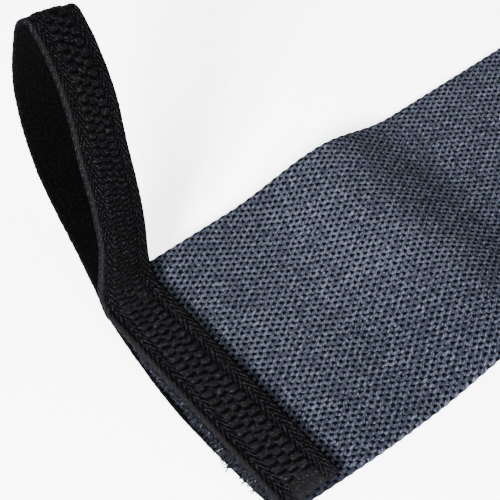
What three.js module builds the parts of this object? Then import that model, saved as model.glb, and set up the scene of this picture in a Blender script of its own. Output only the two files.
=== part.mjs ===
// Wrist wrap: a wide elastic strip lying on a table, with a thumb loop of narrow ribbed tape sewn across one end.
// Millimetres. X runs along the strip from the thumb loop end, Y across it, Z up from the table.

import * as THREE from 'three';

// Strip
const WRAP_LENGTH = 300;
const WRAP_WIDTH = 76;
const WRAP_THICKNESS = 1.8;

// Cut end, square to the strip but drawn in at the back corner, where the loop pulls at it
const CORNER_DRAW = 3.6;
const CORNER_DRAW_LENGTH = 26;

// Soft ridge across the strip, which lies on the table past it
const RIDGE_START = 43;
const RIDGE_NEAR_SLOPE = 30;
const RIDGE_FAR_SLOPE = 27;
const RIDGE_RISE = 4;

// Narrow tape of the thumb loop
const TAPE_WIDTH = 16;
const TAPE_THICKNESS = 1.4;
const RIB_WIDTH = 7.6;
const RIB_RISE = 0.4;
const RIB_SHOULDER = 0.6;
const SEWN_GAP = 0.3;
const UPPER_RUN_INSET = 0.5;
const LOWER_RUN_OVERHANG = 1;

// Thumb loop, measured from the top of the strip's back edge to the loop's tip
const LOOP_RISE = 59;
const LOOP_REACH = 33;
const LOOP_DRIFT = 10.5;
const TURN_UP_INSET = 8;
const RUN_STEP = 1.5;

// Lean of the tape's width in the loop, in degrees: its far edge turned back and dipped
const LOOP_TURN = 14;
const LOOP_DIP = 21;

// Fastening patch at the far end
const PATCH_LENGTH = 70;
const PATCH_WIDTH = 52;
const PATCH_THICKNESS = 1.4;
const PATCH_CORNER = 5;
const PATCH_MARGIN = 6;

// Fineness of the faceted shapes
const RIDGE_STEPS = 24;
const ACROSS_STEPS = 6;
const EDGE_STEPS = 4;
const LOOP_STEPS = 4;
const TURN_STEPS = 3;

const WRAP_COLOUR = 0x4a505f;
const TAPE_COLOUR = 0x181619;
const PATCH_COLOUR = 0x1d1d20;

// The loop seen from its open side, up its inner side, over the tip and down its outer side. Its middle line
// goes out past the strip's back edge, up from the strip's top and towards the far end, and its width turns
// and dips, all as shares of the loop's own sizes.
const LOOP_ROWS = [
  { out: -0.14, up: 0.08, drift: 0.03, turn: 0.3, dip: 0.15 },
  { out: -0.11, up: 0.18, drift: 0.1, turn: 0.7, dip: 0.4 },
  { out: -0.06, up: 0.32, drift: 0.24, turn: 1, dip: 0.7 },
  { out: 0.07, up: 0.48, drift: 0.4, turn: 0.95, dip: 0.9 },
  { out: 0.24, up: 0.62, drift: 0.56, turn: 0.75, dip: 1 },
  { out: 0.41, up: 0.75, drift: 0.76, turn: 0.7, dip: 1 },
  { out: 0.59, up: 0.86, drift: 0.89, turn: 0.7, dip: 1 },
  { out: 0.79, up: 0.95, drift: 0.98, turn: 0.65, dip: 1 },
  { out: 0.93, up: 1, drift: 1, turn: 0.6, dip: 0.95 },
  { out: 0.98, up: 0.97, drift: 0.97, turn: 0.5, dip: 0.85 },
  { out: 0.98, up: 0.89, drift: 0.84, turn: 0.4, dip: 0.75 },
  { out: 0.93, up: 0.75, drift: 0.62, turn: 0.25, dip: 0.65 },
  { out: 0.79, up: 0.6, drift: 0.44, turn: 0.15, dip: 0.6 },
  { out: 0.56, up: 0.45, drift: 0.27, turn: 0.1, dip: 0.55 },
  { out: 0.33, up: 0.33, drift: 0.2, turn: 0.1, dip: 0.45 },
  { out: 0.12, up: 0.18, drift: 0.2, turn: 0.1, dip: 0.3 },
];

const nearLift = RIB_RISE + TAPE_THICKNESS + SEWN_GAP;
const ridgeCrest = RIDGE_START + RIDGE_NEAR_SLOPE;
const ridgeEnd = ridgeCrest + RIDGE_FAR_SLOPE;
const backEdge = WRAP_WIDTH / 2;
const nearTop = nearLift + WRAP_THICKNESS;

const ease = (share) => (1 - Math.cos(Math.PI * THREE.MathUtils.clamp(share, 0, 1))) / 2;

// Distance that the end is drawn in at a place across the strip
const drawnIn = (y) => CORNER_DRAW * Math.max(0, 1 - (backEdge - y) / CORNER_DRAW_LENGTH) ** 2;

// Height of the strip's underside over the table
function lift(x) {
  if (x < ridgeCrest) {
    return nearLift + RIDGE_RISE * ease((x - RIDGE_START) / RIDGE_NEAR_SLOPE);
  }
  return (nearLift + RIDGE_RISE) * (1 - ease((x - ridgeCrest) / RIDGE_FAR_SLOPE));
}

// Closed solid through a row of rings, each the outline carried to its place, with a flat cap at both ends
function solidThrough(outline, rings) {
  const count = outline.length;
  const positions = rings.flat().flatMap((point) => point.toArray());
  const faces = [];
  for (let ring = 0; ring < rings.length - 1; ring++) {
    for (let i = 0; i < count; i++) {
      const a = ring * count + i;
      const b = ring * count + (i + 1) % count;
      faces.push(a, b, b + count, a, b + count, a + count);
    }
  }
  const last = (rings.length - 1) * count;
  for (const [i, j, k] of THREE.ShapeUtils.triangulateShape(outline, [])) {
    faces.push(i, k, j, last + i, last + j, last + k);
  }
  const geometry = new THREE.BufferGeometry();
  geometry.setAttribute('position', new THREE.Float32BufferAttribute(positions, 3));
  geometry.setIndex(faces);
  geometry.computeVertexNormals();
  return geometry;
}

// Outline of a flat strip's section with round edges, as places across it and heights over its middle:
// along the upper face from the right edge to the left one, then back along the lower face
function stripOutline(width, thickness, upperFace) {
  const radius = thickness / 2;
  const flat = width / 2 - radius;
  const outline = [];
  for (let step = 0; step <= EDGE_STEPS; step++) {
    const angle = Math.PI * (step / EDGE_STEPS) - Math.PI / 2;
    outline.push(new THREE.Vector2(flat + radius * Math.cos(angle), radius * Math.sin(angle)));
  }
  outline.push(...upperFace.map(({ across, up }) => new THREE.Vector2(across, radius + up)));
  for (let step = 0; step <= EDGE_STEPS; step++) {
    const angle = Math.PI * (step / EDGE_STEPS) + Math.PI / 2;
    outline.push(new THREE.Vector2(-flat + radius * Math.cos(angle), radius * Math.sin(angle)));
  }
  outline.push(...upperFace.map(({ across }) => new THREE.Vector2(-across, -radius)));
  return outline;
}

function wrapBand() {
  const flat = WRAP_WIDTH / 2 - WRAP_THICKNESS / 2;
  const upperFace = [];
  for (let step = 1; step < ACROSS_STEPS; step++) {
    upperFace.push({ across: flat * (1 - 2 * (step / ACROSS_STEPS)), up: 0 });
  }
  const outline = stripOutline(WRAP_WIDTH, WRAP_THICKNESS, upperFace);
  const places = [];
  for (let step = 0; step <= RIDGE_STEPS; step++) {
    places.push(THREE.MathUtils.lerp(RIDGE_START, ridgeEnd, step / RIDGE_STEPS));
  }
  places.push(WRAP_LENGTH);
  const ringAt = (along) => outline.map(({ x: across, y: up }) => {
    const x = along(across);
    return new THREE.Vector3(x, across, lift(x) + WRAP_THICKNESS / 2 + up);
  });
  return solidThrough(outline, [ringAt(drawnIn), ...places.map((x) => ringAt(() => x))]);
}

// Places along the tape's middle line, each with the lean of its width
function tapeStations() {
  const upperMiddle = nearTop + SEWN_GAP + TAPE_THICKNESS / 2;
  const lowerMiddle = RIB_RISE + TAPE_THICKNESS / 2;
  const upperX = UPPER_RUN_INSET + TAPE_WIDTH / 2;
  const lowerX = TAPE_WIDTH / 2 - LOWER_RUN_OVERHANG;
  const inset = backEdge - TURN_UP_INSET;
  const at = (x, y, z, turn = 0, dip = 0) => ({ point: new THREE.Vector3(x, y, z), turn, dip });

  const upperRun = [-backEdge, 0, inset - RUN_STEP, inset].map((y) => at(upperX, y, upperMiddle));
  const loop = LOOP_ROWS.map(({ out, up, drift, turn, dip }) => at(
    upperX + LOOP_DRIFT * drift,
    backEdge + LOOP_REACH * out,
    nearTop + LOOP_RISE * up,
    THREE.MathUtils.degToRad(LOOP_TURN * turn),
    THREE.MathUtils.degToRad(LOOP_DIP * dip),
  ));

  // Round the strip's back edge and under it
  const turnRadius = upperMiddle - nearLift - WRAP_THICKNESS / 2;
  const turnMiddle = backEdge - WRAP_THICKNESS / 2;
  const turnUnder = [];
  for (let step = 0; step <= TURN_STEPS; step++) {
    const angle = (step / TURN_STEPS) * Math.PI / 2;
    turnUnder.push(at(
      lowerX + drawnIn(turnMiddle),
      turnMiddle + turnRadius * Math.cos(angle),
      nearLift + WRAP_THICKNESS / 2 - turnRadius * Math.sin(angle),
    ));
  }
  const lowerRun = [turnMiddle - RUN_STEP, inset, backEdge - CORNER_DRAW_LENGTH, 0, -backEdge].map((y) => (
    at(lowerX + drawnIn(y), y, lowerMiddle)
  ));
  return [...upperRun, ...loop, ...turnUnder, ...lowerRun];
}

// Direction of the tape's width at a place of its middle line
function widthAt(tangent, turn, dip) {
  const lean = new THREE.Vector3(Math.cos(turn) * Math.cos(dip), Math.sin(turn) * Math.cos(dip), -Math.sin(dip));
  return lean.addScaledVector(tangent, -lean.dot(tangent)).normalize();
}

function thumbLoop() {
  const stations = tapeStations();
  const curve = new THREE.CatmullRomCurve3(stations.map(({ point }) => point), false, 'centripetal');
  const rib = RIB_WIDTH / 2;
  const outline = stripOutline(TAPE_WIDTH, TAPE_THICKNESS, [
    { across: rib + RIB_SHOULDER, up: 0 },
    { across: rib, up: RIB_RISE },
    { across: -rib, up: RIB_RISE },
    { across: -rib - RIB_SHOULDER, up: 0 },
  ]);
  const spans = stations.length - 1;
  const rings = [];
  for (let step = 0; step <= spans * LOOP_STEPS; step++) {
    const place = step / LOOP_STEPS;
    const row = Math.min(Math.floor(place), spans - 1);
    const [from, to] = [stations[row], stations[row + 1]];
    const point = curve.getPoint(place / spans);
    const tangent = curve.getTangent(place / spans);
    const turn = THREE.MathUtils.lerp(from.turn, to.turn, place - row);
    const dip = THREE.MathUtils.lerp(from.dip, to.dip, place - row);
    const across = widthAt(tangent, turn, dip);
    const outward = across.clone().cross(tangent);
    rings.push(outline.map(({ x: side, y: up }) => (
      point.clone().addScaledVector(across, -side).addScaledVector(outward, up)
    )));
  }
  return solidThrough(outline, rings);
}

function hookPatch() {
  const shape = new THREE.Shape();
  const x = PATCH_LENGTH / 2;
  const y = PATCH_WIDTH / 2;
  shape.moveTo(-x + PATCH_CORNER, -y);
  shape.lineTo(x - PATCH_CORNER, -y);
  shape.absarc(x - PATCH_CORNER, -y + PATCH_CORNER, PATCH_CORNER, -Math.PI / 2, 0);
  shape.lineTo(x, y - PATCH_CORNER);
  shape.absarc(x - PATCH_CORNER, y - PATCH_CORNER, PATCH_CORNER, 0, Math.PI / 2);
  shape.lineTo(-x + PATCH_CORNER, y);
  shape.absarc(-x + PATCH_CORNER, y - PATCH_CORNER, PATCH_CORNER, Math.PI / 2, Math.PI);
  shape.lineTo(-x, -y + PATCH_CORNER);
  shape.absarc(-x + PATCH_CORNER, -y + PATCH_CORNER, PATCH_CORNER, Math.PI, 1.5 * Math.PI);
  return new THREE.ExtrudeGeometry(shape, { depth: PATCH_THICKNESS, bevelEnabled: false, curveSegments: EDGE_STEPS });
}

function named(name, geometry, colour, roughness) {
  const mesh = new THREE.Mesh(geometry, new THREE.MeshStandardMaterial({ color: colour, roughness, metalness: 0 }));
  mesh.name = name;
  return mesh;
}

const band = named('wrap_band', wrapBand(), WRAP_COLOUR, 0.9);
const loop = named('thumb_loop', thumbLoop(), TAPE_COLOUR, 0.85);
const patch = named('hook_patch', hookPatch(), PATCH_COLOUR, 0.8);
patch.position.set(WRAP_LENGTH - PATCH_MARGIN - PATCH_LENGTH / 2, 0, WRAP_THICKNESS + SEWN_GAP);

// The origin is on the table, under the middle of the whole part
const wrap = new THREE.Group();
wrap.add(band, loop, patch);
wrap.updateMatrixWorld(true);
const box = new THREE.Box3().setFromObject(wrap, true);
wrap.position.set(-(box.min.x + box.max.x) / 2, -(box.min.y + box.max.y) / 2, -box.min.z);

export default wrap;
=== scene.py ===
# Wrist wrap: knitted strip, ribbed tape with its thumb loop, hook patch, stitching and frayed threads
import bisect
import math
import random

import bmesh
import bpy
from mathutils import Matrix, Vector, noise


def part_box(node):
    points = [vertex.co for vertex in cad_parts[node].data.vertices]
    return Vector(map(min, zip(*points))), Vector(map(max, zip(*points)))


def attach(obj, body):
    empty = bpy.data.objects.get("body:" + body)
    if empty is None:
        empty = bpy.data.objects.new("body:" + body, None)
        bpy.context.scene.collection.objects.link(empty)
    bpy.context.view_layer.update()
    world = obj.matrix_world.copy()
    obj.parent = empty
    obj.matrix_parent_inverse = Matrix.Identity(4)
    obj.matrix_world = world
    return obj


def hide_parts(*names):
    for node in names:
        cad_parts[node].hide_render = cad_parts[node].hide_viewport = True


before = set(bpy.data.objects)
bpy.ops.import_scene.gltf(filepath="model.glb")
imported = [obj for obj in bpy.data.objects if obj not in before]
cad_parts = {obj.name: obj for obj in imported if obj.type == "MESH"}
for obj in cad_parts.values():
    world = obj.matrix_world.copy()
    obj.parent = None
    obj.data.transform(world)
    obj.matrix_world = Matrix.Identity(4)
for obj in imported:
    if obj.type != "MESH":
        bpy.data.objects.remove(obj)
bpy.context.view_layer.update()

# Sizes in millimetres: x from the strip's cut end, y from its middle line, z from the table
WRAP_LENGTH = 300.0
WRAP_WIDTH = 76.0
WRAP_THICKNESS = 1.8

# The cut end is drawn in at both corners, a little more than the solid's
CORNER_DRAW = 4.8
CORNER_DRAW_LENGTH = 34.0
CORNER_ROUNDING = 1.6
ROUNDING_START = 16.0
ROUNDING_END = 32.0
FRONT_DRAW = 1.7
FRONT_DRAW_LENGTH = 34.0
FRONT_DRAW_WIDTH = 22.0

RIDGE_START = 43.0
RIDGE_NEAR_SLOPE = 30.0
RIDGE_FAR_SLOPE = 27.0
RIDGE_RISE = 4.0
TAPE_WIDTH = 16.0
TAPE_THICKNESS = 1.4
RIB_WIDTH = 7.6
RIB_RISE = 0.4
SEWN_GAP = 0.3
UPPER_RUN_INSET = 0.5
LOWER_RUN_OVERHANG = 1.0
UPPER_RUN_SHORT = 2.0
LOWER_RUN_SHORT = 4.4
LOWER_RUN_PLACES = (-10, -24)
LOOP_RISE = 59.0
LOOP_REACH = 33.0
LOOP_DRIFT = 10.5
TURN_UP_INSET = 8.0
RUN_STEP = 1.5
LOOP_TURN = math.radians(14)
LOOP_DIP = math.radians(21)
PATCH_LENGTH = 70.0
PATCH_WIDTH = 52.0
PATCH_CORNER = 5.0
PATCH_MARGIN = 6.0
PATCH_SINK = 0.1
HOOK_BASE = 0.7

# Stitches of the knit along the strip and across it
KNIT_ROWS = 104
KNIT_COLUMNS = 82

# The loop's middle line as shares of its reach, rise and drift, with its turn and dip. The tape is softer
# than its solid, so the rows from the tip down the back branch hang about a millimetre off the solid's
LOOP_ROWS = [
    (-0.14, 0.08, 0.03, 0.3, 0.15),
    (-0.11, 0.18, 0.1, 0.7, 0.4),
    (-0.06, 0.32, 0.24, 1, 0.7),
    (0.07, 0.48, 0.4, 0.95, 0.9),
    (0.24, 0.62, 0.56, 0.75, 1),
    (0.41, 0.75, 0.76, 0.7, 1),
    (0.59, 0.86, 0.89, 0.7, 1),
    (0.79, 0.95, 0.98, 0.65, 1),
    (0.93, 1.003, 0.97, 0.6, 0.95),
    (0.98, 0.985, 0.9, 0.5, 0.85),
    (0.98, 0.9, 0.75, 0.4, 0.75),
    (0.93, 0.75, 0.53, 0.25, 0.65),
    (0.79, 0.6, 0.34, 0.15, 0.6),
    (0.56, 0.45, 0.17, 0.1, 0.55),
    (0.33, 0.33, 0.11, 0.1, 0.45),
    (0.12, 0.18, 0.14, 0.1, 0.3),
]

NEAR_LIFT = RIB_RISE + TAPE_THICKNESS + SEWN_GAP
NEAR_TOP = NEAR_LIFT + WRAP_THICKNESS
RIDGE_CREST = RIDGE_START + RIDGE_NEAR_SLOPE
BACK_EDGE = WRAP_WIDTH / 2
UPPER_MIDDLE = NEAR_TOP + SEWN_GAP + TAPE_THICKNESS / 2
LOWER_MIDDLE = RIB_RISE + TAPE_THICKNESS / 2
UPPER_X = UPPER_RUN_INSET + TAPE_WIDTH / 2
LOWER_X = TAPE_WIDTH / 2 - LOWER_RUN_OVERHANG

band_low, band_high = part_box("wrap_band")
START = Vector((band_low.x, (band_low.y + band_high.y) / 2, band_low.z))


def placed(x, y, z):
    return START + Vector((x, y, z)) * 0.001


def eased(share):
    return (1 - math.cos(math.pi * min(max(share, 0.0), 1.0))) / 2


def faded(value, low, high):
    return eased((value - low) / (high - low))


def hump(value, middle, spread):
    return math.exp(-(((value - middle) / spread) ** 2))


def drawn_in(y):
    """How far the cut end is drawn in along the strip."""
    drawn = CORNER_DRAW * max(0.0, 1 - (BACK_EDGE - y) / CORNER_DRAW_LENGTH) ** 2
    return drawn + CORNER_ROUNDING * faded(-y, ROUNDING_START, ROUNDING_END)


def front_drawn(x, y):
    """How far the front edge is drawn in across the strip, near the cut end."""
    near_edge = faded(-y, BACK_EDGE - FRONT_DRAW_WIDTH, BACK_EDGE)
    return FRONT_DRAW * near_edge * max(0.0, 1 - x / FRONT_DRAW_LENGTH) ** 1.5


def lift(x):
    """Height of the strip's underside over the table."""
    if x < RIDGE_CREST:
        return NEAR_LIFT + RIDGE_RISE * eased((x - RIDGE_START) / RIDGE_NEAR_SLOPE)
    return (NEAR_LIFT + RIDGE_RISE) * (1 - eased((x - RIDGE_CREST) / RIDGE_FAR_SLOPE))


# Node building
class Finish:
    def __init__(self, name):
        self.material = bpy.data.materials.new(name)
        self.material.use_nodes = True
        self.tree = self.material.node_tree
        self.shader = self.tree.nodes["Principled BSDF"]

    def add(self, kind, **settings):
        node = self.tree.nodes.new(kind)
        for name, value in settings.items():
            setattr(node, name, value)
        return node

    def feed(self, socket, value):
        if isinstance(value, bpy.types.NodeSocket):
            self.tree.links.new(value, socket)
        else:
            socket.default_value = value

    def math(self, operation, first, second=0.0, third=0.0):
        node = self.add("ShaderNodeMath", operation=operation)
        self.feed(node.inputs[0], first)
        self.feed(node.inputs[1], second)
        self.feed(node.inputs[2], third)
        return node.outputs[0]

    def ramp(self, value, low, high, out_low=0.0, out_high=1.0):
        node = self.add("ShaderNodeMapRange", interpolation_type="SMOOTHSTEP")
        self.feed(node.inputs["Value"], value)
        node.inputs["From Min"].default_value = low
        node.inputs["From Max"].default_value = high
        node.inputs["To Min"].default_value = out_low
        node.inputs["To Max"].default_value = out_high
        return node.outputs["Result"]

    def uv(self, layer):
        node = self.add("ShaderNodeUVMap", uv_map=layer)
        split = self.add("ShaderNodeSeparateXYZ")
        self.feed(split.inputs[0], node.outputs[0])
        return split.outputs[0], split.outputs[1]

    def point(self, x, y, z=0.0):
        node = self.add("ShaderNodeCombineXYZ")
        self.feed(node.inputs[0], x)
        self.feed(node.inputs[1], y)
        self.feed(node.inputs[2], z)
        return node.outputs[0]

    def noise(self, vector, scale, detail=2.0, roughness=0.5):
        node = self.add("ShaderNodeTexNoise")
        self.feed(node.inputs["Vector"], vector)
        node.inputs["Scale"].default_value = scale
        node.inputs["Detail"].default_value = detail
        node.inputs["Roughness"].default_value = roughness
        return node.outputs["Fac"]

    def place(self):
        return self.add("ShaderNodeTexCoord").outputs["Object"]

    def mixed(self, share, first, second):
        node = self.add("ShaderNodeMix", data_type="RGBA")
        self.feed(node.inputs["Factor"], share)
        self.feed(node.inputs["A"], first)
        self.feed(node.inputs["B"], second)
        return node.outputs["Result"]

    def relief(self, height):
        node = self.add("ShaderNodeBump")
        node.inputs["Strength"].default_value = 1.0
        node.inputs["Distance"].default_value = 0.001
        self.feed(node.inputs["Height"], height)
        self.feed(self.shader.inputs["Normal"], node.outputs[0])

    def set(self, **values):
        for name, value in values.items():
            self.feed(self.shader.inputs[name.replace("_", " ")], value)


def knit_finish():
    finish = Finish("knit_elastic")
    along, across = finish.uv("weave")
    millimetres_x = finish.math("MULTIPLY", along, WRAP_LENGTH)
    millimetres_y = finish.math("MULTIPLY", across, WRAP_WIDTH)
    raw = finish.point(millimetres_x, millimetres_y)
    drift_x = finish.math("SUBTRACT", finish.noise(raw, 0.45, 2.0), 0.5)
    drift_y = finish.math("SUBTRACT", finish.noise(finish.place(), 520.0, 2.0), 0.5)
    rows = finish.math("MULTIPLY_ADD", along, KNIT_ROWS, finish.math("MULTIPLY", drift_x, 0.4))
    columns = finish.math("MULTIPLY_ADD", across, KNIT_COLUMNS, finish.math("MULTIPLY", drift_y, 0.4))
    column = finish.math("FLOOR", columns)
    side = finish.math("SUBTRACT", finish.math("FRACT", columns), 0.5)
    shift = finish.math("MULTIPLY", finish.math("MODULO", column, 2.0), 0.5)
    shifted = finish.math("ADD", rows, shift)
    stitch = finish.math("FLOOR", shifted)
    place = finish.math("SUBTRACT", finish.math("FRACT", shifted), 0.5)
    chance = finish.add("ShaderNodeTexWhiteNoise", noise_dimensions="2D")
    finish.feed(chance.inputs["Vector"], finish.point(stitch, column))
    luck = chance.outputs["Value"]

    # The dark hole at the ends of each float, its darkness painted shade, and the float's own rounded crown
    to_hole = finish.math("SUBTRACT", 0.5, finish.math("ABSOLUTE", place))
    slant = finish.math("MULTIPLY_ADD", side, 0.1, to_hole)
    hole_x = finish.math("DIVIDE", slant, finish.math("MULTIPLY_ADD", luck, 0.06, 0.104))
    hole_y = finish.math("DIVIDE", side, 0.53)
    square_x = finish.math("POWER", finish.math("ABSOLUTE", hole_x), 2.0)
    square_y = finish.math("POWER", finish.math("ABSOLUTE", hole_y), 2.0)
    reach = finish.math("SQRT", finish.math("ADD", square_x, square_y))
    hole =finish.ramp(reach, 0.8, 1.4, 1.0, 0.0)
    crown = finish.math("COSINE", finish.math("MULTIPLY", side, 2.6))
    groove = finish.ramp(finish.math("ABSOLUTE", side), 0.3, 0.5)

    # Bright filaments, curled across each float: their relief, and their brightness a painted highlight
    tilt = finish.math("MULTIPLY_ADD", luck, 0.5, 0.3)
    turned = finish.math("SUBTRACT", millimetres_y, finish.math("MULTIPLY", millimetres_x, tilt))
    strands = finish.noise(finish.point(finish.math("MULTIPLY", millimetres_x, 0.9),
                                        finish.math("MULTIPLY", turned, 3.4), luck), 1.0, 3.0, 0.6)
    strand = finish.ramp(strands, 0.42, 0.66)
    fuzz = finish.noise(raw, 5.5, 3.0, 0.65)
    wear = finish.noise(finish.place(), 28.0, 3.0, 0.55)

    shade = finish.math("MULTIPLY_ADD", strand, 0.62, finish.math("MULTIPLY", fuzz, 0.42))
    # Painted shade in the grooves between the columns
    shade = finish.math("MULTIPLY", shade, finish.ramp(groove, 0.0, 1.0, 1.0, 0.72))
    shade = finish.math("MULTIPLY_ADD", finish.math("SUBTRACT", luck, 0.5), 0.16, shade)
    shade = finish.math("MULTIPLY_ADD", finish.math("SUBTRACT", wear, 0.5), 0.25, shade)

    # A little darker towards the front, painted shade near black in the holes, and near black at the front
    # corner and at the cut end
    shade = finish.math("MULTIPLY_ADD", finish.ramp(across, 0.1, 0.55, 1.0, 0.0), -0.075, shade)
    yarn = finish.mixed(finish.ramp(shade, 0.12, 0.85), (0.0075, 0.0092, 0.0145, 1),
                        (0.058, 0.0645, 0.087, 1))
    cut_end = finish.ramp(finish.math("MULTIPLY_ADD", across, 0.006, along), 0.0045, 0.013, 0.85, 0.0)
    corner = finish.math("MULTIPLY", finish.ramp(across, 0.0, 0.06, 0.9, 0.0),
                         finish.ramp(along, 0.045, 0.065, 1.0, 0.0))
    shaded = finish.mixed(corner, yarn, (0.004, 0.0045, 0.0075, 1))
    # Painted shade: near black in the holes
    knit = finish.mixed(hole, shaded, (0.0004, 0.0005, 0.0012, 1))
    finish.set(Base_Color=finish.mixed(cut_end, knit, (0.0012, 0.0013, 0.002, 1)), Roughness=0.9,
               Sheen_Weight=0.0, Specular_IOR_Level=0.03)
    height = finish.math("MULTIPLY", crown, 0.22)
    height = finish.math("MULTIPLY_ADD", strand, 0.1, height)
    height = finish.math("MULTIPLY_ADD", fuzz, 0.1, height)
    finish.relief(finish.math("MULTIPLY_ADD", hole, -0.5, height))
    return finish.material


def tape_finish(flat_length):
    finish = Finish("ribbed_tape")
    along, around = finish.uv("tape")
    length = finish.math("MULTIPLY", along, flat_length)
    width = finish.math("MULTIPLY", around, 2 * TAPE_WIDTH)
    inner = finish.ramp(around, 0.5, 0.505)
    middle = finish.math("ABSOLUTE", finish.math("SUBTRACT", width, TAPE_WIDTH / 2))
    raw = finish.point(length, width)

    # Fine slanted weave of the plain bands
    bend = finish.math("MULTIPLY", finish.math("SUBTRACT", finish.noise(raw, 0.9, 2.0), 0.5), 1.6)
    first = finish.math("ADD", finish.math("ADD", finish.math("MULTIPLY", length, 7.4),
                                           finish.math("MULTIPLY", width, 6.0)), bend)
    second = finish.math("ADD", finish.math("SUBTRACT", finish.math("MULTIPLY", length, 5.2),
                                            finish.math("MULTIPLY", width, 8.0)), bend)
    twill = finish.math("MULTIPLY", finish.math("SINE", first), finish.math("SINE", second))
    grain = finish.noise(raw, 3.6, 3.0, 0.65)
    rising = finish.math("ADD", length, width)
    falling = finish.math("SUBTRACT", length, width)
    # Fuzz hairs in two slants, in relief and painted lighter as their highlights
    first_hairs = finish.noise(finish.point(finish.math("MULTIPLY", rising, 0.75),
                                            finish.math("MULTIPLY", falling, 2.1)), 1.0, 2.0, 0.6)
    second_hairs = finish.noise(finish.point(finish.math("MULTIPLY", rising, 2.1),
                                             finish.math("MULTIPLY", falling, 0.75), 5.0), 1.0, 2.0, 0.6)
    hairs = finish.math("MAXIMUM", first_hairs, finish.math("MULTIPLY", second_hairs, 0.93))
    rib = finish.ramp(middle, RIB_WIDTH / 2 - 0.1, RIB_WIDTH / 2 + 0.5, 1.0, 0.0)
    raised = finish.math("MULTIPLY", rib, finish.math("SUBTRACT", 1.0, inner))
    flat = finish.math("SUBTRACT", 1.0, raised)
    weave = finish.math("MULTIPLY_ADD", twill, 0.5, 0.5)

    # Zigzag strokes of the plain bands, and the pale line of the rolled edge, a painted highlight
    zigzag = finish.math("MULTIPLY", finish.math("ABSOLUTE", finish.math("SUBTRACT", middle, 5.6)), 6.4)
    zigzag = finish.math("ADD", finish.math("MULTIPLY_ADD", length, 3.1, zigzag),
                         finish.math("MULTIPLY", bend, 1.5))
    stroke = finish.math("MULTIPLY", finish.ramp(finish.math("SINE", zigzag), 0.1, 0.95),
                         finish.ramp(grain, 0.4, 0.62))
    stroke = finish.math("MULTIPLY", stroke, flat)
    rim = finish.math("MULTIPLY", finish.ramp(width, TAPE_WIDTH - 1.4, TAPE_WIDTH - 0.7),
                      finish.ramp(width, TAPE_WIDTH - 0.1, TAPE_WIDTH - 0.6))
    narrow = finish.math("MAXIMUM", finish.ramp(width, TAPE_WIDTH - 1.0, TAPE_WIDTH - 0.65),
                         finish.ramp(length, LOOP_FOOT - 8, LOOP_FOOT + 6, 1.0, 0.0))
    rim = finish.math("MULTIPLY", rim, narrow)
    flecks = finish.math("MULTIPLY", finish.ramp(width, TAPE_WIDTH - 0.3, TAPE_WIDTH + 0.1),
                         finish.ramp(width, TAPE_WIDTH + 0.8, TAPE_WIDTH + 0.4))
    flecks = finish.math("MULTIPLY", flecks, finish.ramp(hairs, 0.56, 0.66))
    selvage = finish.math("MULTIPLY", finish.math("MAXIMUM", rim, finish.math("MULTIPLY", flecks, 0.8)),
                          finish.ramp(grain, 0.25, 0.7, 0.45, 1.0))
    # The painted highlight of the edge fades down the back branch of the loop
    selvage = finish.math("MULTIPLY", selvage, finish.ramp(length, LOOP_TIP - 6, LOOP_TIP + 8, 1.0, 0.3))
    sealed = finish.ramp(length, 1.6, 3.6, 1.0, 0.0)

    shade = finish.math("MULTIPLY_ADD", weave, 0.12, finish.math("MULTIPLY", grain, 0.3))
    shade = finish.math("MULTIPLY_ADD", raised, 0.29, shade)
    hair_share = finish.math("MULTIPLY_ADD", raised, -0.12, 0.5)
    # Painted highlights of the hairs, less on the raised band
    shade = finish.math("MULTIPLY_ADD", finish.ramp(hairs, 0.54, 0.7), hair_share, shade)
    shade = finish.math("MULTIPLY_ADD", stroke, 0.75, shade)
    # Painted shade: the loop a little darker from its foot on
    shade = finish.math("ADD", shade, finish.ramp(length, LOOP_FOOT - 6, LOOP_FOOT + 12, 0.0, -0.06))
    black = finish.mixed(finish.ramp(shade, 0.37, 1.15), (0.0004, 0.0004, 0.0005, 1),
                         (0.03, 0.0282, 0.0303, 1))
    dark = finish.mixed(finish.ramp(hairs, 0.5, 0.68), (0.0001, 0.0001, 0.0001, 1),
                        (0.0016, 0.0015, 0.0016, 1))
    dull = finish.mixed(inner, black, dark)
    lit = finish.mixed(finish.math("MULTIPLY", selvage, 0.8), dull, (0.0062, 0.0057, 0.007, 1))
    ended = finish.mixed(finish.math("MULTIPLY", sealed, 0.3), lit, (0.0062, 0.0058, 0.008, 1))
    # Painted shade: near black in the hollows at the bumps' ends and in the edge grooves
    hollow = finish.add("ShaderNodeAttribute", attribute_name="hollow").outputs["Fac"]
    finish.set(Base_Color=finish.mixed(finish.ramp(hollow, 0.05, 0.75), ended, (0.0002, 0.0002, 0.0002, 1)),
               Roughness=0.9, Sheen_Weight=0.0, Specular_IOR_Level=0.02)
    plain = finish.math("SUBTRACT", 1.0, finish.math("MULTIPLY", raised, 0.45))
    height = finish.math("MULTIPLY", finish.math("MULTIPLY", weave, plain), 0.24)
    height = finish.math("MULTIPLY_ADD", grain, 0.2, height)
    height = finish.math("MULTIPLY_ADD", stroke, 0.2, height)
    finish.relief(finish.math("MULTIPLY_ADD", finish.ramp(hairs, 0.5, 0.72), 0.14, height))
    return finish.material


def thread_finish(name, dark, light, roughness):
    finish = Finish(name)
    strand = finish.noise(finish.place(), 2400.0, 2.0, 0.6)
    finish.set(Base_Color=finish.mixed(finish.ramp(strand, 0.35, 0.7), dark, light), Roughness=roughness,
               Specular_IOR_Level=0.03)
    finish.relief(finish.math("MULTIPLY", strand, 0.05))
    return finish.material


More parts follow.
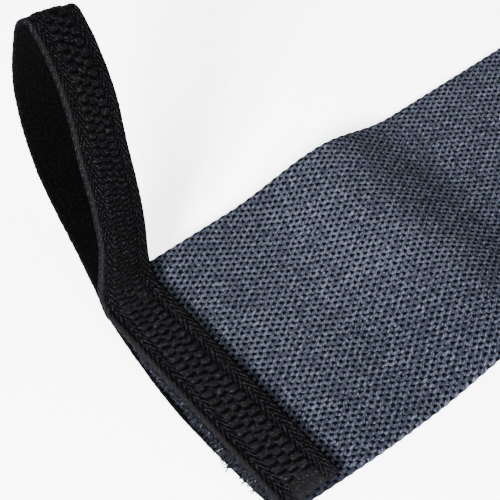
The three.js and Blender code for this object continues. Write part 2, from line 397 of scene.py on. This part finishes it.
def hook_finish():
    finish = Finish("hook_fastener")
    node = finish.add("ShaderNodeTexWave", wave_type="BANDS", bands_direction="Y")
    finish.feed(node.inputs["Vector"], finish.place())
    node.inputs["Scale"].default_value = 180.0
    node.inputs["Distortion"].default_value = 0.6
    grain = finish.noise(finish.place(), 900.0, 3.0, 0.6)
    shade = finish.math("MULTIPLY_ADD", node.outputs["Fac"], 0.5, finish.math("MULTIPLY", grain, 0.5))
    finish.set(Base_Color=finish.mixed(shade, (0.0008, 0.0008, 0.001, 1), (0.007, 0.007, 0.008, 1)),
               Roughness=0.8, Specular_IOR_Level=0.08)
    finish.relief(finish.math("MULTIPLY", shade, 0.12))
    return finish.material


def floor_finish():
    """Pale table with a glow of its own, close to the photo's white."""
    finish = Finish("pale_table")
    tone = finish.noise(finish.place(), 3.0, 2.0)
    finish.set(Base_Color=finish.mixed(tone, (0.94, 0.94, 0.945, 1), (0.97, 0.97, 0.975, 1)), Roughness=0.8,
               Specular_IOR_Level=0.1, Emission_Color=(1.0, 1.0, 1.0, 1.0), Emission_Strength=3.0)
    return finish.material


# Mesh building
def wrapped_grid(steps_along, steps_around, layer, shape):
    """Closed tube of a grid. For each corner, shape gives its place, spot in the pattern and hollow, a share
    of painted shade.
    """
    mesh = bmesh.new()
    bmesh.ops.create_grid(mesh, x_segments=steps_along, y_segments=steps_around, size=0.5)
    uv = mesh.loops.layers.uv.new(layer)
    depth = mesh.verts.layers.float.new("hollow")
    spots = {}
    for vert in mesh.verts:
        step = round((vert.co.x + 0.5) * steps_along)
        turn = round((vert.co.y + 0.5) * steps_around)
        vert.co, spots[vert], vert[depth] = shape(step, turn)
    for face in mesh.faces:
        face.smooth = True
        for loop in face.loops:
            loop[uv].uv = spots[loop.vert]
    bmesh.ops.remove_doubles(mesh, verts=mesh.verts, dist=1e-6)
    open_edges = [edge for edge in mesh.edges if edge.is_boundary]
    bmesh.ops.holes_fill(mesh, edges=open_edges, sides=0)
    bmesh.ops.recalc_face_normals(mesh, faces=mesh.faces)
    return mesh


def piece(name, mesh, slot, *finishes):
    data = bpy.data.meshes.new(name)
    mesh.to_mesh(data)
    mesh.free()
    made = bpy.data.objects.new(name, data)
    bpy.context.scene.collection.objects.link(made)
    for finish in finishes:
        data.materials.append(finish)
    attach(made, "root")
    return made


# Knitted strip
TOP_STEPS = KNIT_COLUMNS * 2
EDGE_STEPS = 6
UNDER_STEPS = 24
STRIP_STEPS = KNIT_ROWS * 4
STRIP_AROUND = TOP_STEPS + 2 * EDGE_STEPS + UNDER_STEPS
HALF_FLAT = (WRAP_WIDTH - WRAP_THICKNESS) / 2
EDGE_RIPPLE = 0.13

# Heights over the mean face: the groove between columns, and one stitch from its hole over its float
GROOVE_HEIGHTS = (-0.17, -0.13)
STITCH_HEIGHTS = (-0.42, 0.04, 0.12, 0.04)


def knit_height(step, turn):
    """Height of the knit over its mean face, from its lattice of floats and holes."""
    if turn % 2 == 0:
        return GROOVE_HEIGHTS[step % 2]
    column = (turn - 1) // 2
    return STITCH_HEIGHTS[(step + 2 * (column % 2)) % 4]


def strip_corner(step, turn):
    turn_here = turn % STRIP_AROUND
    wobble = Vector((step * 0.31, turn_here * 0.23, 4.0))
    bumpy = EDGE_RIPPLE * math.cos(math.pi * step / 2)
    if turn_here <= TOP_STEPS:
        y = -HALF_FLAT + 2 * HALF_FLAT * turn_here / TOP_STEPS
        up = WRAP_THICKNESS / 2 + knit_height(step, turn_here) + 0.05 * noise.noise(wobble)
        spot = turn_here / TOP_STEPS
    elif turn_here < TOP_STEPS + EDGE_STEPS:
        angle = math.pi * (turn_here - TOP_STEPS) / EDGE_STEPS
        y = HALF_FLAT + (WRAP_THICKNESS / 2 + bumpy) * math.sin(angle)
        up = WRAP_THICKNESS / 2 * math.cos(angle)
        spot = 1 + 0.02 * angle / math.pi
    elif turn_here <= TOP_STEPS + EDGE_STEPS + UNDER_STEPS:
        share = (turn_here - TOP_STEPS - EDGE_STEPS) / UNDER_STEPS
        y = HALF_FLAT - 2 * HALF_FLAT * share
        up = -WRAP_THICKNESS / 2
        spot = 1 - share
    else:
        angle = math.pi * (turn_here - TOP_STEPS - EDGE_STEPS - UNDER_STEPS) / EDGE_STEPS
        y = -HALF_FLAT - (WRAP_THICKNESS / 2 + bumpy) * math.sin(angle)
        up = -WRAP_THICKNESS / 2 * math.cos(angle)
        spot = -0.02 * (1 - angle / math.pi)
    start = drawn_in(y)
    x = start + (WRAP_LENGTH - start) * step / STRIP_STEPS
    y += front_drawn(x, y)
    if 0 < step < STRIP_STEPS:
        x += 0.1 * noise.noise(wobble + Vector((9, 0, 0)))
    return placed(x, y, lift(x) + WRAP_THICKNESS / 2 + up), (step / STRIP_STEPS, spot), 0.0


def wrap_cloth():
    mesh = wrapped_grid(STRIP_STEPS, STRIP_AROUND, "weave", strip_corner)
    cloth = piece("wrap_cloth", mesh, "knit_elastic", knit_finish())
    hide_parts("wrap_band")
    return cloth


# Ribbed tape
TURN_STEPS = 3


def tape_stations():
    """The tape's path from the upper run's front end, up, round the loop and along the lower run."""
    inset = BACK_EDGE - TURN_UP_INSET
    upper_run = (UPPER_RUN_SHORT - BACK_EDGE, 0, inset - RUN_STEP, inset)
    stations = [(Vector((UPPER_X, y, UPPER_MIDDLE)), 0.0, 0.0) for y in upper_run]
    for out, up, drift, turn, dip in LOOP_ROWS:
        spot = Vector((UPPER_X + LOOP_DRIFT * drift, BACK_EDGE + LOOP_REACH * out,
                       NEAR_TOP + LOOP_RISE * up))
        stations.append((spot, LOOP_TURN * turn, LOOP_DIP * dip))
    radius = UPPER_MIDDLE - NEAR_LIFT - WRAP_THICKNESS / 2
    turn_middle = BACK_EDGE - WRAP_THICKNESS / 2
    for step in range(TURN_STEPS + 1):
        angle = step / TURN_STEPS * math.pi / 2
        spot = Vector((LOWER_X + drawn_in(turn_middle), turn_middle + radius * math.cos(angle),
                       NEAR_LIFT + WRAP_THICKNESS / 2 - radius * math.sin(angle)))
        stations.append((spot, 0.0, 0.0))
    lower_run = (turn_middle - RUN_STEP, inset, BACK_EDGE - CORNER_DRAW_LENGTH, *LOWER_RUN_PLACES,
                 LOWER_RUN_SHORT - BACK_EDGE)
    for y in lower_run:
        stations.append((Vector((LOWER_X + drawn_in(y), y, LOWER_MIDDLE)), 0.0, 0.0))
    return stations


def smooth_span(before, start, end, after, share):
    """Place and direction on the even curve from start to end."""
    gaps = [max(math.sqrt((b - a).length), 1e-4) for a, b in ((before, start), (start, end), (end, after))]
    first = (start - before) / gaps[0] - (end - before) / (gaps[0] + gaps[1]) + (end - start) / gaps[1]
    second = (end - start) / gaps[1] - (after - start) / (gaps[1] + gaps[2]) + (after - end) / gaps[2]
    first = first * gaps[1]
    second = second * gaps[1]
    square = 3 * (end - start) - 2 * first - second
    cube = 2 * (start - end) + first + second
    spot = start + first * share + square * share ** 2 + cube * share ** 3
    return spot, first + 2 * square * share + 3 * cube * share ** 2


SPAN_STEPS = 30


def tape_line():
    """Places along the tape's middle line: the length so far, place, direction of its width, and outward."""
    stations = tape_stations()
    spots = [station[0] for station in stations]
    spots = [2 * spots[0] - spots[1], *spots, 2 * spots[-1] - spots[-2]]
    line = []
    total = 0.0
    for span in range(len(stations) - 1):
        last = span == len(stations) - 2
        for step in range(SPAN_STEPS + last):
            share = step / SPAN_STEPS
            spot, heading = smooth_span(*spots[span:span + 4], share)
            turn = stations[span][1] * (1 - share) + stations[span + 1][1] * share
            dip = stations[span][2] * (1 - share) + stations[span + 1][2] * share
            heading.normalize()
            lean = Vector((math.cos(turn) * math.cos(dip), math.sin(turn) * math.cos(dip), -math.sin(dip)))
            across = (lean - heading * lean.dot(heading)).normalized()
            if line:
                total += (spot - line[-1][1]).length
            line.append((total, spot, across, across.cross(heading)))
    return line


LINE = tape_line()
LINE_LENGTHS = [entry[0] for entry in LINE]
TAPE_LENGTH = LINE_LENGTHS[-1]
RING_GAP = 0.37
TAPE_RINGS = round(TAPE_LENGTH / RING_GAP)
FACE_STEPS = 44
TAPE_EDGE_STEPS = 6
INNER_STEPS = 16
TAPE_AROUND = FACE_STEPS + 2 * TAPE_EDGE_STEPS + INNER_STEPS

# Lengths along the tape where the loop leaves the strip, and where it is highest
LOOP_FOOT = BACK_EDGE * 2 - TURN_UP_INSET - UPPER_RUN_SHORT
LOOP_TIP = max(LINE, key=lambda entry: entry[1].z)[0]

# Raised bumps in three columns, closer together up the loop's foot
BUMP_PITCH = 2.5
BUMP_DIP = 0.42
BUMP_RISE = 0.62
CROWD_MIDDLE = 20.0
CROWD_LENGTH = 22.0
CROWDING = 0.85
EDGE_GROOVE = -6.3
EDGE_CORD = -7.1


def on_tape(along, across, up):
    """Place over the tape's middle line, in millimetres along, across and outward."""
    spot = min(max(bisect.bisect_right(LINE_LENGTHS, along) - 1, 0), len(LINE) - 2)
    here, there = LINE[spot], LINE[spot + 1]
    share = (along - here[0]) / max(there[0] - here[0], 1e-9)
    middle = here[1].lerp(there[1], share)
    side = here[2].lerp(there[2], share).normalized()
    outward = here[3].lerp(there[3], share).normalized()
    return middle + side * across + outward * up


def bump_count(along):
    """Bumps passed so far: they crowd together up the loop's foot."""
    squeezed = CROWDING * CROWD_LENGTH * (math.erf((along - LOOP_FOOT - CROWD_MIDDLE) / CROWD_LENGTH) + 1)
    return along / BUMP_PITCH + squeezed / BUMP_PITCH


def tape_height(along, across):
    """Height of the outer face over the tape's middle line, and how hollow it is there, which the finish
    paints as shade.
    """
    height = TAPE_THICKNESS / 2
    hollow = 0.0
    rib = 1 - faded(abs(across), RIB_WIDTH / 2 - 0.15, RIB_WIDTH / 2 + 0.55)
    crowded = hump(along, LOOP_FOOT + 22, 24)
    plain = 1 - faded(along, 3.0, 5.5)
    if rib > 0:
        column = min(max((across + RIB_WIDTH / 2) / (RIB_WIDTH / 3), 0.0), 2.999)
        side = column % 1 - 0.5
        row = bump_count(along) + 0.5 * (int(column) % 2) * (1 - 0.35 * crowded) + 0.1 * crowded * column
        row += 0.1 * (1 - 4 * side * side) + 0.16 * noise.noise(Vector((along * 0.45, across * 0.6, 2)))
        place = row % 1 - 0.5
        pillow = max(math.cos(math.pi * place), 0.0) ** 0.5
        pillow *= max(math.cos(math.pi * side), 0.0) ** (0.22 * (1 - 0.6 * crowded))
        uneven = 1 + 0.35 * noise.noise(Vector((math.floor(row), int(column) * 3.1, 7)))
        bump = -BUMP_DIP + (BUMP_RISE * (1 - 0.3 * crowded)) * pillow * uneven
        bump *= 1 - 0.65 * hump(along, LOOP_TIP, 5)
        height += rib * (RIB_RISE + bump * (1 - plain) - 0.1 * plain)
        # The dash at each bump's end is painted near black as shade, through hollow
        dash = faded(abs(place), 0.26, 0.4) * (1 - 0.45 * abs(2 * side) ** 3)
        hollow = rib * (1 - plain) * dash
    sewn = 1 - 0.8 * faded(along, LOOP_FOOT - 2, LOOP_FOOT + 8)
    height += sewn * (0.14 * hump(across, EDGE_CORD, 0.4) - 0.16 * hump(across, EDGE_GROOVE, 0.25))
    height += 0.08 * hump(across, 7.2, 0.4)
    height -= 0.25 * hump(along, LOOP_FOOT + 3.5, 1.3) * faded(across, -4, 4)
    # The grooves along the edges are painted dark as shade too
    outer_groove = 0.6 * sewn * hump(across, EDGE_GROOVE, 0.25)
    inner_groove = 0.3 * sewn * hump(across, 6.55, 0.25)
    hollow = max(hollow, outer_groove, inner_groove)
    return height + 0.05 * noise.noise(Vector((along * 0.8, across * 1.1, 0))), hollow


def tape_corner(step, turn):
    turn_here = turn % TAPE_AROUND
    along = TAPE_LENGTH * step / TAPE_RINGS
    radius = TAPE_THICKNESS / 2
    flat = TAPE_WIDTH / 2 - radius
    closing = 1 - 0.55 * hump(along, 0, 0.5) - 0.55 * hump(along, TAPE_LENGTH, 0.5)
    ragged = 0.16 * noise.noise(Vector((along * 1.7, 3, turn_here * 0.05)))
    hollow = 0.0
    if turn_here <= FACE_STEPS:
        across = flat * (1 - 2 * turn_here / FACE_STEPS)
        up, hollow = tape_height(along, across)
        spot = 0.5 * (TAPE_WIDTH / 2 - across) / TAPE_WIDTH
    elif turn_here < FACE_STEPS + TAPE_EDGE_STEPS:
        angle = math.pi * (turn_here - FACE_STEPS) / TAPE_EDGE_STEPS
        across = -flat - (radius + ragged) * math.sin(angle)
        up = (radius + 0.06) * math.cos(angle)
        spot = 0.5 - 0.022 * math.cos(angle)
    elif turn_here <= FACE_STEPS + TAPE_EDGE_STEPS + INNER_STEPS:
        across = -flat + 2 * flat * (turn_here - FACE_STEPS - TAPE_EDGE_STEPS) / INNER_STEPS
        up = -radius
        spot = 0.5 + 0.5 * (TAPE_WIDTH / 2 + across) / TAPE_WIDTH
    else:
        angle = math.pi * (turn_here - FACE_STEPS - TAPE_EDGE_STEPS - INNER_STEPS) / TAPE_EDGE_STEPS
        across = flat + (radius + ragged) * math.sin(angle)
        up = -radius * math.cos(angle)
        spot = 0.978 + 0.022 * (1 - math.cos(angle)) / 2
    corner = on_tape(along, across, up * closing)
    corner.z = max(corner.z, 0.0)
    return placed(*corner), (step / TAPE_RINGS, spot), hollow


def loop_tape():
    mesh = wrapped_grid(TAPE_RINGS, TAPE_AROUND, "tape", tape_corner)
    tape = piece("loop_tape", mesh, "ribbed_tape", tape_finish(TAPE_LENGTH))
    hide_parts("thumb_loop")
    return tape


# Stitches
def add_stitch(mesh, start, end, radius):
    """One short stitch lying between two places in millimetres, its ends sunk in."""
    middle = (start + end) / 2
    direction = end - start
    turned = direction.to_track_quat("X", "Z").to_matrix().to_4x4()
    scale = Matrix.Diagonal((direction.length / 2, radius, radius, 1))
    bmesh.ops.create_uvsphere(mesh, u_segments=6, v_segments=5, radius=1.0,
                              matrix=Matrix.Translation(placed(*middle)) @ turned
                              @ Matrix.Scale(0.001, 4) @ scale)


SEAM_ROWS = (-4.95, 5.15)
SEAM_START = 5.0
SEAM_STITCH = 1.9
SEAM_PITCH = 2.55
BAR_STITCHES = 22
BAR_START = -6.2
BAR_PITCH = 0.58
BAR_LEAN = 0.8
BAR_INSET = 1.8


def stitch_rows():
    """Two seams along both runs, and a bar of slanted stitches where the loop leaves the strip."""
    mesh = bmesh.new()
    chance = random.Random(11)
    for across in SEAM_ROWS:
        along = SEAM_START
        while along < LOOP_FOOT - 3:
            length = SEAM_STITCH + chance.uniform(-0.2, 0.2)
            side = across + chance.uniform(-0.12, 0.12)
            start = on_tape(along, side, TAPE_THICKNESS / 2 + 0.06)
            end = on_tape(along + length, side + chance.uniform(-0.15, 0.15), TAPE_THICKNESS / 2 + 0.06)
            add_stitch(mesh, start, end, 0.15)
            under = on_tape(TAPE_LENGTH - along, side, TAPE_THICKNESS / 2 + 0.02)
            under_end = on_tape(TAPE_LENGTH - along - length, side, TAPE_THICKNESS / 2 + 0.02)
            add_stitch(mesh, under, under_end, 0.14)
            along += SEAM_PITCH
    for place in range(BAR_STITCHES):
        across = BAR_START + place * BAR_PITCH
        lean = BAR_LEAN if place % 2 else -BAR_LEAN
        up = TAPE_THICKNESS / 2 + 0.25 * (abs(across) < 4)
        add_stitch(mesh, on_tape(LOOP_FOOT - BAR_INSET - lean, across, up),
                   on_tape(LOOP_FOOT - BAR_INSET + lean, across + BAR_PITCH, up), 0.13)
    for face in mesh.faces:
        face.smooth = True
    thread = thread_finish("sewing_thread", (0.0006, 0.0006, 0.0008, 1), (0.0085, 0.008, 0.0095, 1), 0.85)
    return piece("tape_stitches", mesh, "ribbed_tape", thread)


# Frayed threads of the cut end
FRAY_LIMIT = -3.8
FRAY_LIMIT_GROWTH = 2.9


def frayed_threads(name, finish, amount, thickness, seed, reach, lean):
    """Short curled threads, more of them towards the front corner, where they stay closer to the end."""
    chance = random.Random(seed)
    data = bpy.data.curves.new(name, "CURVE")
    data.dimensions = "3D"
    data.bevel_depth = thickness / 2000
    data.bevel_resolution = 0
    data.resolution_u = 3
    data.use_fill_caps = True
    data.materials.append(finish)
    for _ in range(amount):
        y = BACK_EDGE - 3 - (WRAP_WIDTH - 3.4) * chance.random() ** lean
        full = (0.4 + 0.6 * faded(-y, -5, 22)) * (1 + 0.7 * noise.noise(Vector((y * 0.35, 0, 1))))
        z = chance.uniform(NEAR_LIFT + 0.15, NEAR_TOP + 0.1)
        spot = Vector((drawn_in(y) + 0.5, y, z))
        heading = Vector((-1, chance.uniform(-0.9, 0.9), chance.uniform(-0.45, 0.35))).normalized()
        spline = data.splines.new("NURBS")
        spline.points.add(4)
        spline.use_endpoint_u = True
        spline.order_u = 3
        length = chance.uniform(*reach) * full
        furthest = FRAY_LIMIT + FRAY_LIMIT_GROWTH * faded(-y, 8, 34)
        for index, point in enumerate(spline.points):
            point.co = (*placed(*spot), 1)
            point.radius = 1 - 0.12 * index
            curl = Vector((chance.uniform(-0.5, 0.3), chance.uniform(-1, 1), chance.uniform(-0.9, 0.5)))
            heading = (heading + curl * 0.55).normalized()
            spot = spot + heading * length / 4
            spot.z = max(spot.z, 0.2)
            spot.x = max(spot.x, furthest)
    made = bpy.data.objects.new(name, data)
    bpy.context.scene.collection.objects.link(made)
    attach(made, "root")
    return made


# Hook patch
PATCH_MIDDLE_X = WRAP_LENGTH - PATCH_MARGIN - PATCH_LENGTH / 2
PATCH_FLOOR = WRAP_THICKNESS + SEWN_GAP
PATCH_MIDDLE = Vector((PATCH_MIDDLE_X, 0, PATCH_FLOOR - PATCH_SINK))

# Rise, lean and size of each part of a hook, from its foot to its turned-over head
HOOK_PARTS = ((0.4, 0.0, 0.9), (0.28, 0.1, 0.95), (0.1, 0.28, 0.9), (-0.14, 0.2, 0.7))
HOOK_RADIUS = 0.17
HOOK_PITCH_ALONG = 1.7
HOOK_PITCH_ACROSS = 1.5
HOOK_MARGIN = 9
SEAM_INSET = 1.9
PATCH_SEAM_PITCH = 1.5


def hook_plate():
    """Thin plate with rounded corners and a rolled rim."""
    mesh = bmesh.new()
    bmesh.ops.create_grid(mesh, x_segments=1, y_segments=1, size=0.5)
    for vert in mesh.verts:
        vert.co = Vector((vert.co.x * PATCH_LENGTH, vert.co.y * PATCH_WIDTH, 0))
    bmesh.ops.bevel(mesh, geom=mesh.verts[:], offset=PATCH_CORNER, segments=6, affect="VERTICES", profile=0.5,
                    material=-1)
    raised = bmesh.ops.extrude_face_region(mesh, geom=mesh.faces[:])
    top = [item for item in raised["geom"] if isinstance(item, bmesh.types.BMFace)]
    for item in raised["geom"]:
        if isinstance(item, bmesh.types.BMVert):
            item.co.z += HOOK_BASE
    bmesh.ops.inset_region(mesh, faces=top, thickness=0.35, depth=0.12)
    bmesh.ops.inset_region(mesh, faces=top, thickness=2.6, depth=0.0)
    bmesh.ops.inset_region(mesh, faces=top, thickness=0.25, depth=-0.1)
    bmesh.ops.recalc_face_normals(mesh, faces=mesh.faces)
    for vert in mesh.verts:
        vert.co = placed(*(vert.co + PATCH_MIDDLE))
    plate = piece("hook_plate", mesh, "hook_fastener", hook_finish())
    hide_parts("hook_patch")
    return plate


def hook_field():
    """Rows of short bent hooks, each one stub with a turned-over head."""
    mesh = bmesh.new()
    hook = bmesh.new()
    bmesh.ops.create_circle(hook, cap_ends=True, segments=4, radius=HOOK_RADIUS)
    ring = hook.faces[:]
    for move, lean, size in HOOK_PARTS:
        grown = bmesh.ops.extrude_face_region(hook, geom=ring)
        ring = [item for item in grown["geom"] if isinstance(item, bmesh.types.BMFace)]
        verts = [item for item in grown["geom"] if isinstance(item, bmesh.types.BMVert)]
        centre = sum((vert.co for vert in verts), Vector()) / len(verts)
        for vert in verts:
            vert.co = centre + (vert.co - centre) * size + Vector((lean, 0, move))
    bmesh.ops.recalc_face_normals(hook, faces=hook.faces)
    stub = bpy.data.meshes.new("hook_stub")
    hook.to_mesh(stub)
    hook.free()
    chance = random.Random(5)
    columns = int((PATCH_LENGTH - HOOK_MARGIN) / HOOK_PITCH_ALONG)
    rows = int((PATCH_WIDTH - HOOK_MARGIN) / HOOK_PITCH_ACROSS)
    for column in range(columns + 1):
        for row in range(rows + 1):
            known = len(mesh.verts)
            mesh.from_mesh(stub)
            x = (column - columns / 2) * HOOK_PITCH_ALONG + chance.uniform(-0.08, 0.08)
            y = (row - rows / 2) * HOOK_PITCH_ACROSS + chance.uniform(-0.08, 0.08)
            facing = Matrix.Rotation((math.pi if row % 2 else 0) + chance.uniform(-0.3, 0.3), 3, "Z")
            mesh.verts.ensure_lookup_table()
            for vert in mesh.verts[known:]:
                vert.co = placed(*(PATCH_MIDDLE + Vector((x, y, HOOK_BASE - 0.05)) + facing @ vert.co))
    bpy.data.meshes.remove(stub)
    bristle = thread_finish("hook_bristle", (0.002, 0.002, 0.0024, 1), (0.016, 0.016, 0.018, 1), 0.5)
    return piece("hook_rows", mesh, "hook_fastener", bristle)


def patch_stitches():
    """Zigzag seam round the patch."""
    mesh = bmesh.new()
    middle = Vector((PATCH_MIDDLE_X, 0, PATCH_FLOOR + HOOK_BASE - 0.02))
    half_x = PATCH_LENGTH / 2 - SEAM_INSET
    half_y = PATCH_WIDTH / 2 - SEAM_INSET
    corners = [Vector((-half_x, -half_y, 0)), Vector((half_x, -half_y, 0)),
               Vector((half_x, half_y, 0)), Vector((-half_x, half_y, 0))]
    for index, corner in enumerate(corners):
        following = corners[(index + 1) % 4]
        count = round((following - corner).length / PATCH_SEAM_PITCH)
        inward = Vector((0, 0, 1)).cross((following - corner).normalized())
        for step in range(count):
            start = corner.lerp(following, step / count) + inward * (0.9 if step % 2 else -0.5)
            end = corner.lerp(following, (step + 1) / count) + inward * (-0.5 if step % 2 else 0.9)
            add_stitch(mesh, start + middle, end + middle, 0.2)
    for face in mesh.faces:
        face.smooth = True
    thread = thread_finish("patch_thread", (0.001, 0.001, 0.0012, 1), (0.012, 0.0115, 0.013, 1), 0.8)
    return piece("patch_stitches", mesh, "hook_fastener", thread)


cloth = wrap_cloth()
tape = loop_tape()
stitches = stitch_rows()
grey_yarn = thread_finish("grey_yarn", (0.003, 0.0034, 0.005, 1), (0.024, 0.026, 0.034, 1), 0.85)
navy_yarn = thread_finish("navy_yarn", (0.0008, 0.0009, 0.0016, 1), (0.008, 0.0085, 0.013, 1), 0.85)
pale_yarn = thread_finish("pale_yarn", (0.03, 0.03, 0.038, 1), (0.2, 0.2, 0.23, 1), 0.8)
fray = [
    frayed_threads("grey_fray", grey_yarn, 70, 0.36, 3, (1.2, 2.6), 0.6),
    frayed_threads("navy_fray", navy_yarn, 330, 0.5, 4, (1.5, 3.2), 0.9),
    frayed_threads("pale_fray", pale_yarn, 26, 0.2, 5, (1.0, 2.2), 0.8),
]
plate = hook_plate()
hooks = hook_field()
patch_seam = patch_stitches()

# Table, light and camera, in metres
FLOOR_HALF = 4.0
STUDIO_LIGHT = 1.3
LENS_LENGTH = 100.74
CAMERA_PLACE = (-0.24318, -0.15725, 0.27718)
CAMERA_AHEAD = (0.38702, 0.47661, -0.78934)

floor_mesh = bmesh.new()
bmesh.ops.create_grid(floor_mesh, x_segments=1, y_segments=1, size=FLOOR_HALF)
floor_data = bpy.data.meshes.new("table_top")
floor_mesh.to_mesh(floor_data)
floor_mesh.free()
floor = bpy.data.objects.new("table_top", floor_data)
bpy.context.scene.collection.objects.link(floor)
floor_data.materials.append(floor_finish())


def soft_light(name, spot, aim, size, power):
    data = bpy.data.lights.new(name, "AREA")
    data.shape = "DISK"
    data.size = size
    data.energy = power
    lamp = bpy.data.objects.new(name, data)
    bpy.context.scene.collection.objects.link(lamp)
    lamp.location = spot
    lamp.rotation_euler = (Vector(aim) - Vector(spot)).to_track_quat("-Z", "Y").to_euler()
    return lamp


soft_light("key_light", (-0.9, -0.4, 0.44), (-0.05, 0.0, 0.0), 0.3, 90.0)
soft_light("front_light", (0.1, -0.85, 0.7), (-0.08, 0.0, 0.0), 0.6, 12.0)

world = bpy.data.worlds.new("studio")
world.use_nodes = True
world.node_tree.nodes["Background"].inputs["Color"].default_value = (1.0, 1.0, 1.0, 1.0)
world.node_tree.nodes["Background"].inputs["Strength"].default_value = STUDIO_LIGHT
bpy.context.scene.world = world

lens = bpy.data.cameras.new("photo_view")
lens.sensor_width = 36.0
lens.lens = LENS_LENGTH
lens.clip_start = 0.01
camera = bpy.data.objects.new("photo_view", lens)
bpy.context.scene.collection.objects.link(camera)
ahead = Vector(CAMERA_AHEAD).normalized()
right = ahead.cross(Vector((0, 0, 1))).normalized()
upward = right.cross(ahead)
camera.matrix_world = Matrix((
    (right.x, upward.x, -ahead.x, CAMERA_PLACE[0]),
    (right.y, upward.y, -ahead.y, CAMERA_PLACE[1]),
    (right.z, upward.z, -ahead.z, CAMERA_PLACE[2]),
    (0, 0, 0, 1),
))
bpy.context.scene.camera = camera
